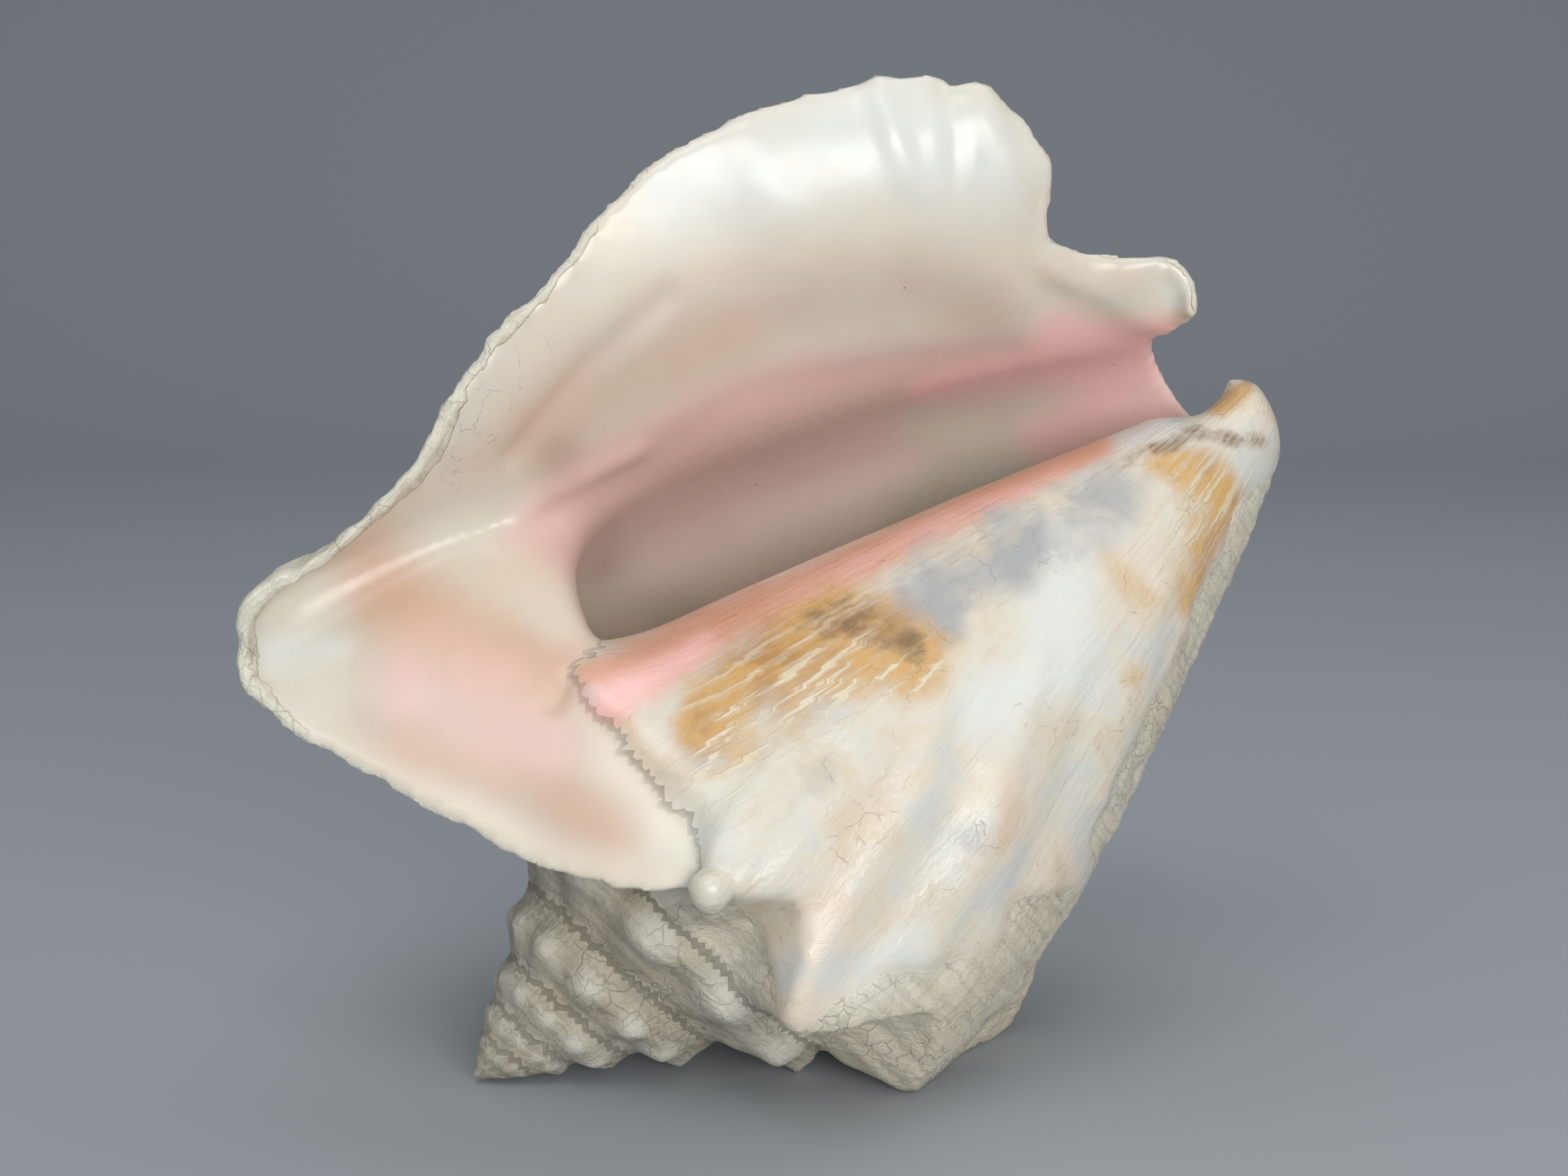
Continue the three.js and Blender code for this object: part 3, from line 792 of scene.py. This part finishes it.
# Where the enamel lies
band = np.interp(along, *CHALK_BAND)
band = band * (0.7 + 0.6 * noise(np.stack([along * 60, 0 * along, 0 * along], -1), 9))
lip_face = of_sheet * smooth(layer + 0.5) * smooth((rim - band) / 0.9 + 0.5)
# The mesh has an opening at the rear edge of the last whorl's wall, on the hidden back. This region and
# the limits on turn below only turn the enamel round it into chalk. They don't close it.
behind = (q[:, 0] < BEHIND[0]) & (q[:, 1] < BEHIND[1]) & (q[:, 2] < BEHIND[2]) & (normal[:, 2] < 0.1)
lip_face[behind] = 0
body = (1 - of_sheet) * (whorl < 0.5)
toward = (normal[:, 2] > -0.25) & (turn < 0.34) & (turn > -0.33)
glazed_body = body * np.where((turn < -0.1) & (turn > -0.42), smooth(cord / 3 + 1.5), 0)
ragged = inside(px + 16 * (noise(q / 7.0, 3)[:, None] - 0.5), GLAZED, 8)
glazed_body = np.maximum(glazed_body * (normal[:, 2] < 0.3), body * ragged * toward)
glazed_body[behind | ((normal[:, 2] < 0) & (turn < -0.25))] = 0
glaze = spread(np.maximum(lip_face, glazed_body), edges, count, 1)
rim_near = of_sheet * np.exp(-(rim / 2.6) ** 2)
push, swell = spine_push(turn, cord + shoulder_height(turn))
small = swell / SPIRE_KNOB / (shoulder_radius(turn) / SPIRE_KNOB_RADIUS)
tips = np.where(whorl > 0.5, np.clip(small, 0, 1), np.clip(-push / 18, 0, 1)) * (1 - of_sheet)
masks = {
    "front": body * ragged * toward,
    "tip": tips,
    "glaze": glaze,
    "cord": cord,
    "turn": turn * 100,
    "rim": spread(rim_near, edges, count, 2),
    "layer": layer,
}
for name, strokes in LIP_MARKS.items():
    masks[name] = mark(px, strokes) * lip_face
for name, strokes in BODY_MARKS.items():
    masks[name] = np.maximum(masks.get(name, 0), mark(px, strokes) * body * toward * ragged)
masks["dim"] *= turn > 0.8
# Painted light: the same lightening on the glazed wall inside the aperture
coil_throat_and_painted_light = mark(px, LIP_MARKS["throat"]) * glazed_body * (turn < -0.1)
masks["throat"] = np.maximum(masks["throat"], coil_throat_and_painted_light)
for name in SOFT_MASKS:
    masks[name] = spread(masks[name], edges, count, 6)

# Relief in millimetres along the surface's normal
chalk = 1 - glaze
lumps = (noise(q / 13.0, 1) - 0.5) * 1.6 + (noise(q / 5.0, 2) - 0.5) * 0.9
cords = np.sin(cord * 2 * np.pi / CORD_STEP) * CORD_HEIGHT
relief = chalk * (lumps + cords)
relief += glaze * (noise(q / 24.0, 4) - 0.5) * 0.8
for strength, points in FOLDS:
    relief += strength * stroke(px, points) * lip_face
for strength, points in BODY_FOLDS:
    relief += strength * stroke(px, points) * body * toward
front_chalk = body * toward * (1 - ragged) * (cord > -12)
relief -= ENAMEL_STEP * spread(front_chalk, edges, count, 1)
along_rim = np.stack([along * RIM_LENGTH / CHIP_GRAIN, np.zeros(count), np.zeros(count)], -1)
chips = (np.maximum(noise(along_rim, 5) - 0.62, 0) * 4
         + np.maximum(noise(along_rim * 2.7, 6) - 0.55, 0) * 1.4
         + noise(along_rim * 7, 7) * 0.3)
chips *= np.interp(along, [0, 0.1, 0.25], [0.2, 0.3, 1])
inward = -rim_outward(along)
seen = normal[:, 2] > -0.2
gap = np.linalg.norm(px - WORN_KNOB[:2], axis=1) / WORN_KNOB[2]
foremost = q[:, 2] > 45
dome = KNOB_HEIGHT * np.sqrt(np.maximum(1 - gap ** 2, 0)) * seen * foremost
groove = KNOB_GROOVE * np.exp(-((gap - 1.15) * 6) ** 2) * seen * foremost
relief += dome - groove
gap = np.linalg.norm(px - WORM_RING[:2], axis=1) / WORM_RING[2]
relief += WORM_HEIGHT * np.exp(-((gap - 1) * 2.2) ** 2) * seen * (q[:, 0] < 62)
relief = relief[:, None] * normal
relief += (of_sheet * np.exp(-(rim / 5.0) ** 2) * chips)[:, None] * inward
q = q + np.stack([spread(r, edges, count, 1) for r in relief.T], -1)
v = to_row(q)

# Flat on the floor and inside the CAD model's box
v[:, 2] = np.maximum(v[:, 2], 0)
low, high = np.array(cad_box[0]), np.array(cad_box[1])
got_low, got_high = v.min(0), v.max(0)
for axis in range(3):
    bottom = low[axis] + (INSET if axis < 2 else 0)
    scale = (high[axis] - INSET - bottom) / (got_high[axis] - got_low[axis])
    v[:, axis] = bottom + (v[:, axis] - got_low[axis]) * min(scale, 1.0)
set_coords(shell.data, v)
shell.data.shade_smooth()
print("shell faces", len(shell.data.polygons))
for name, values in masks.items():
    layer_data = shell.data.attributes.new(name, "FLOAT", "POINT")
    layer_data.data.foreach_set("value", np.asarray(values, np.float32))


class Nodes:
    """Short calls for building a material's nodes."""

    def __init__(self, material):
        material.use_nodes = True
        self.tree = material.node_tree
        self.shader = self.tree.nodes["Principled BSDF"]
        self.place = self.node("ShaderNodeTexCoord").outputs["Object"]

    def node(self, kind, **inputs):
        made = self.tree.nodes.new(kind)
        for key, value in inputs.items():
            self.feed(made.inputs[key.replace("_", " ")], value)
        return made

    def feed(self, socket, value):
        if isinstance(value, bpy.types.NodeSocket):
            self.tree.links.new(value, socket)
        else:
            socket.default_value = value

    def math(self, operation, *values):
        made = self.tree.nodes.new("ShaderNodeMath")
        made.operation = operation
        for socket, value in zip(made.inputs, values):
            self.feed(socket, value)
        return made.outputs[0]

    def plus(self, a, b):
        return self.math("ADD", a, b)

    def minus(self, a, b):
        return self.math("SUBTRACT", a, b)

    def times(self, a, b):
        return self.math("MULTIPLY", a, b)

    def mask(self, name):
        made = self.tree.nodes.new("ShaderNodeAttribute")
        made.attribute_name = name
        return made.outputs["Fac"]

    def noise(self, grain, detail=3.0, rough=0.5, vector=None, warp=0.0):
        """Noise with a grain in millimetres."""
        made = self.node("ShaderNodeTexNoise", Vector=vector or self.place, Scale=1000 / grain,
                         Detail=detail, Roughness=rough, Distortion=warp)
        return made.outputs["Fac"]

    def cells(self, grain, vector, feature="DISTANCE_TO_EDGE"):
        """Distance to the edges of cells with a grain in millimetres, or to their centres with F1."""
        made = self.node("ShaderNodeTexVoronoi", Vector=vector, Scale=1000 / grain)
        made.feature = feature
        return made.outputs["Distance"]

    def join(self, x, y, z):
        return self.node("ShaderNodeCombineXYZ", X=x, Y=y, Z=z).outputs[0]

    def ramp(self, value, low, high):
        """0 below low, 1 above high."""
        made = self.node("ShaderNodeMapRange", Value=value, From_Min=low, From_Max=high)
        made.interpolation_type = "SMOOTHSTEP"
        return made.outputs[0]

    def mix(self, share, a, b):
        made = self.tree.nodes.new("ShaderNodeMix")
        made.data_type = "RGBA"
        self.feed(made.inputs[0], share)
        self.feed(made.inputs[6], a if isinstance(a, bpy.types.NodeSocket) else colour(a))
        self.feed(made.inputs[7], b if isinstance(b, bpy.types.NodeSocket) else colour(b))
        return made.outputs[2]


def colour(rgb):
    """Linear colour of a colour as seen, 0 to 255."""
    c = np.array(rgb) / 255
    linear = np.where(c <= 0.04045, c / 12.92, ((c + 0.055) / 1.055) ** 2.4)
    return (*linear.tolist(), 1)


# Colours as seen, 0 to 255, tuned against the photograph
CHALK, CHALK_DARK = (208, 203, 187), (156, 149, 133)
CHALK_TAN, CHALK_WHITE = (204, 192, 168), (222, 219, 206)
# The middle colour below is white, also used for painted highlights on the lip
ENAMEL, MILK_AND_PAINTED_HIGHLIGHT, CREAM = (214, 209, 194), (220, 221, 214), (222, 209, 190)
# The last colour below is the throat's pale rose, lightened as painted light
ROSE, BLUSH, THROAT_AND_PAINTED_LIGHT = (226, 190, 180), (252, 200, 196), (248, 224, 210)
PEACH, SALMON = (212, 176, 152), (216, 160, 132)
AMBER, AMBER_LIGHT, DARK = (182, 134, 74), (206, 164, 102), (132, 106, 76)
# The last two colours below are painted shade on the wing near the throat
SLATE, STREAK, SHADE, PAINTED_EDGE_SHADE = (168, 168, 168), (226, 216, 188), (190, 168, 152), (176, 148, 134)
# The first colour below lightens the chalk that faces the floor, as painted light
CHALK_PAINTED_LIGHT, CRACK, RIM_PALE = (222, 214, 194), (120, 110, 94), (228, 225, 208)
STAIN_TAN, STAIN_GREY, GROWTH_LINE = (208, 186, 152), (206, 206, 201), (196, 174, 142)
CRAZE, SPECK = (140, 128, 112), (126, 96, 70)
# The floor's paper, as a linear colour
PAPER = (0.36, 0.385, 0.41, 1)
# With this grain a noise's own vector sets its scale
OWN_SCALE = 1000

# Colours of the glaze over the enamel: mask, colour, how far noise breaks its edge, and the noise's
# grain in millimetres
GLAZE_LAYERS = [
    # Painted shade on the wing
    ("shade", SHADE, 0.3, 30),
    # Painted light: the throat lightened against its shade
    ("throat", THROAT_AND_PAINTED_LIGHT, 0.3, 30),
    ("rose", ROSE, 0.25, 26),
    ("peach", PEACH, 0.35, 28),
    ("cream", CREAM, 0.35, 24),
    # Painted shade along the throat's left edge
    ("dim", PAINTED_EDGE_SHADE, 0.2, 26),
    ("salmon", SALMON, 0.45, 15),
    ("blush", BLUSH, 0.35, 22),
    # White, with painted highlights on the lip
    ("milk", MILK_AND_PAINTED_HIGHLIGHT, 0.45, 18),
    ("slate", SLATE, 1.1, 13),
    ("amber", AMBER, 0.9, 15),
    ("dark", DARK, 1.3, 6),
]

material = bpy.data.materials.new("shell")
n = Nodes(material)
soft = n.noise(30, 2)
fine = n.noise(2.2, 4, 0.6)
grain = n.noise(0.5, 3, 0.6)
axial = n.noise(OWN_SCALE, 4, 0.6, n.join(n.times(n.mask("turn"), 1.5), n.times(n.mask("cord"), 0.05), 0.0))
spiral = n.noise(OWN_SCALE, 3, 0.6, n.join(n.times(n.mask("turn"), 0.12), n.times(n.mask("cord"), 0.9), 0.0))
glaze_mask = n.ramp(n.plus(n.mask("glaze"), n.times(n.minus(fine, 0.5), 0.5)), 0.4, 0.6)

# Chalky outside: tan and pale patches, fine cords round the coil, growth lines across it, cracks
chalk_c = n.mix(n.ramp(soft, 0.35, 0.65), CHALK, CHALK_TAN)
chalk_c = n.mix(n.times(n.ramp(n.noise(5, 4, 0.65), 0.48, 0.66), 0.35), chalk_c, CHALK_WHITE)
chalk_c = n.mix(n.times(n.ramp(spiral, 0.46, 0.62), 0.7), chalk_c, CHALK_DARK)
chalk_c = n.mix(n.times(n.ramp(axial, 0.52, 0.68), 0.45), chalk_c, CHALK_DARK)
warp = n.node("ShaderNodeTexNoise", Vector=n.place, Scale=1000 / 6.0, Detail=2.0).outputs["Color"]
shifted = n.node("ShaderNodeMixRGB", Fac=0.006, Color1=n.place, Color2=warp).outputs[0]
cracks = n.times(n.ramp(n.cells(5.0, shifted), 0.035, 0.008), n.ramp(n.noise(20, 2), 0.46, 0.56))
# Painted shade: the chalk darker towards the spire
chalk_c = n.mix(n.times(n.ramp(n.mask("turn"), -50, -90), 0.4), chalk_c, CHALK_DARK)
# Painted light: the last whorl's front chalk, which faces the floor, made lighter
chalk_c = n.mix(n.times(n.ramp(n.mask("turn"), -25, -5), 0.4), chalk_c, CHALK_PAINTED_LIGHT)
chalk_c = n.mix(n.times(cracks, 0.18), chalk_c, CRACK)
chalk_c = n.mix(n.times(n.ramp(n.mask("tip"), 0.25, 0.9), 0.55), chalk_c, CHALK_WHITE)
rim_lines = n.noise(OWN_SCALE, 3, 0.7, n.join(n.times(n.mask("layer"), 3.2), n.times(n.mask("rim"), 2.0), 0.0))
rim_c = n.mix(n.ramp(rim_lines, 0.45, 0.7), RIM_PALE, CHALK_TAN)
chalk_c = n.mix(n.times(n.ramp(n.mask("rim"), 0.15, 0.5), 0.7), chalk_c, rim_c)

# Glazed inside
glaze_c = n.mix(n.ramp(soft, 0.3, 0.7), ENAMEL, CREAM)
front = n.mask("front")
stain = n.noise(15, 4, 0.55, warp=0.4)
glaze_c = n.mix(n.times(front, n.times(n.ramp(stain, 0.48, 0.68), 0.5)), glaze_c, STAIN_TAN)
glaze_c = n.mix(n.times(front, n.times(n.ramp(stain, 0.5, 0.34), 0.8)), glaze_c, STAIN_GREY)
glaze_c = n.mix(n.times(front, n.times(n.ramp(axial, 0.52, 0.72), 0.3)), glaze_c, GROWTH_LINE)
for name, rgb, wobble, size in GLAZE_LAYERS:
    broken = n.plus(n.mask(name), n.times(n.minus(n.noise(size, 4, 0.55, warp=0.4), 0.5), wobble * 1.6))
    share = n.times(n.ramp(broken, 0.05, 1.0), n.ramp(n.mask(name), 0.02, 0.3))
    if name in ("amber", "dark"):
        share = n.times(share, n.plus(0.6, n.times(0.4, n.ramp(axial, 0.64, 0.4))))
    if name == "amber":
        rgb = n.mix(n.ramp(stain, 0.42, 0.58), AMBER, AMBER_LIGHT)
    glaze_c = n.mix(share, glaze_c, rgb)
streaks = n.times(n.ramp(axial, 0.52, 0.6), n.times(n.mask("streak"), 0.75))
glaze_c = n.mix(streaks, glaze_c, STREAK)
craze = n.cells(9.0, shifted)
worn = n.times(front, n.ramp(stain, 0.5, 0.6))
crazed = n.times(n.ramp(craze, 0.014, 0.004),
                 n.times(n.math("MAXIMUM", n.mask("craze"), worn), n.ramp(fine, 0.4, 0.6)))
glaze_c = n.mix(n.times(crazed, 0.35), glaze_c, CRAZE)
specks = n.times(n.ramp(n.cells(9.0, n.place, "F1"), 0.045, 0.025), n.ramp(n.noise(17, 1), 0.56, 0.6))
glaze_c = n.mix(n.times(specks, 0.6), glaze_c, SPECK)

base = n.mix(glaze_mask, chalk_c, glaze_c)
n.feed(n.shader.inputs["Base Color"], base)
gloss = n.plus(0.16, n.times(n.noise(8, 3), 0.26))
dull = n.plus(0.72, n.times(fine, 0.25))
rough = n.plus(n.times(glaze_mask, gloss), n.times(n.minus(1.0, glaze_mask), dull))
n.feed(n.shader.inputs["Roughness"], rough)
n.shader.inputs["Specular IOR Level"].default_value = 0.5

lines = n.plus(n.times(spiral, 0.5), n.times(axial, 0.5))
rugged = n.plus(lines, n.plus(n.times(fine, 0.5), n.times(grain, 0.25)))
rugged = n.minus(rugged, n.times(cracks, 0.3))
rugged = n.plus(rugged, n.times(n.times(rim_lines, n.mask("rim")), 1.2))
smooth_side = n.plus(n.times(n.noise(9, 1), 0.12), n.times(streaks, 0.22))
smooth_side = n.plus(smooth_side, n.times(front, n.plus(n.times(axial, 0.45), n.times(fine, 0.12))))
smooth_side = n.minus(smooth_side, n.times(crazed, 0.1))
height = n.plus(n.times(n.minus(1.0, glaze_mask), rugged), n.times(glaze_mask, smooth_side))
height = n.plus(height, n.times(glaze_mask, 0.5))
bumped = n.node("ShaderNodeBump", Height=height, Distance=0.0009, Strength=0.8)
n.feed(n.shader.inputs["Normal"], bumped.outputs[0])
shell.data.materials.append(material)

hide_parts("conch_shell")
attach(shell, "root")

# Camera at the photograph's angle
cd, sd = math.cos(LOOK_DOWN), math.sin(LOOK_DOWN)
up = np.array([0, sd, cd])
back = np.array([0, -cd, sd])
eye = (OFFSET - np.array([APEX_X, 0, 0]) - APEX_Y * up + APEX_DEPTH * back) / 1000
cam_data = bpy.data.cameras.new("camera")
cam_data.sensor_width = SENSOR
cam_data.lens = FOCAL_PX / FRAME_PX[0] * SENSOR
camera = bpy.data.objects.new("camera", cam_data)
camera.matrix_world = Matrix((
    (1, up[0], back[0], eye[0]),
    (0, up[1], back[1], eye[1]),
    (0, up[2], back[2], eye[2]),
    (0, 0, 0, 1),
))
bpy.context.scene.collection.objects.link(camera)
bpy.context.scene.camera = camera

# Floor that sweeps up into the backdrop
FLOOR_STEPS, FLOOR_FRONT, FLOOR_LENGTH = 40, -3, 4.2
SWEEP_START, SWEEP, BACKDROP_TOP, HALF_WIDTH = 1.2, 1.0, 4.0, 5
path = []
for i in range(FLOOR_STEPS + 1):
    t = i / FLOOR_STEPS
    if t < 0.5:
        path.append((FLOOR_FRONT + t * 2 * FLOOR_LENGTH, 0.0))
    else:
        a = (t - 0.5) * 2 * math.pi / 2
        path.append((SWEEP_START + SWEEP * math.sin(a), SWEEP - SWEEP * math.cos(a)))
path.append((SWEEP_START + SWEEP, BACKDROP_TOP))
floor_v = [(x, y, z) for y, z in path for x in (-HALF_WIDTH, HALF_WIDTH)]
floor_f = [(2 * i, 2 * i + 1, 2 * i + 3, 2 * i + 2) for i in range(len(path) - 1)]
floor = make_object("floor", np.array(floor_v), floor_f)
floor.data.shade_smooth()
paper = bpy.data.materials.new("paper")
paper.use_nodes = True
pb = paper.node_tree.nodes["Principled BSDF"]
pb.inputs["Base Color"].default_value = PAPER
pb.inputs["Roughness"].default_value = 0.9
floor.data.materials.append(paper)


def area_light(name, position, target, size, power):
    data = bpy.data.lights.new(name, "AREA")
    data.shape = "RECTANGLE"
    data.size, data.size_y = size
    data.energy = power
    obj = bpy.data.objects.new(name, data)
    obj.location = position
    direction = Vector(target) - Vector(position)
    obj.rotation_euler = direction.to_track_quat("-Z", "Y").to_euler()
    bpy.context.scene.collection.objects.link(obj)


# Position, target and size in metres, power in watts
area_light("key", (-0.3, -0.6, 1.05), (0, 0, 0.08), (0.6, 0.6), 2.2)
area_light("fill", (0.34, -1.12, 0.32), (0, 0, 0.1), (0.8, 0.5), 9)
area_light("window", (0.1, -0.8, 1.1), (0, 0, 0.1), (0.14, 0.3), 1.0)
area_light("top", (0.2, 0.3, 1.3), (0, 0.05, 0.05), (1.2, 0.8), 3.2)
world = bpy.data.worlds.new("world")
world.use_nodes = True
world.node_tree.nodes["Background"].inputs[0].default_value = (0.9, 0.95, 1, 1)
world.node_tree.nodes["Background"].inputs[1].default_value = 0.4
bpy.context.scene.world = world
bpy.context.scene.view_settings.view_transform = "Standard"
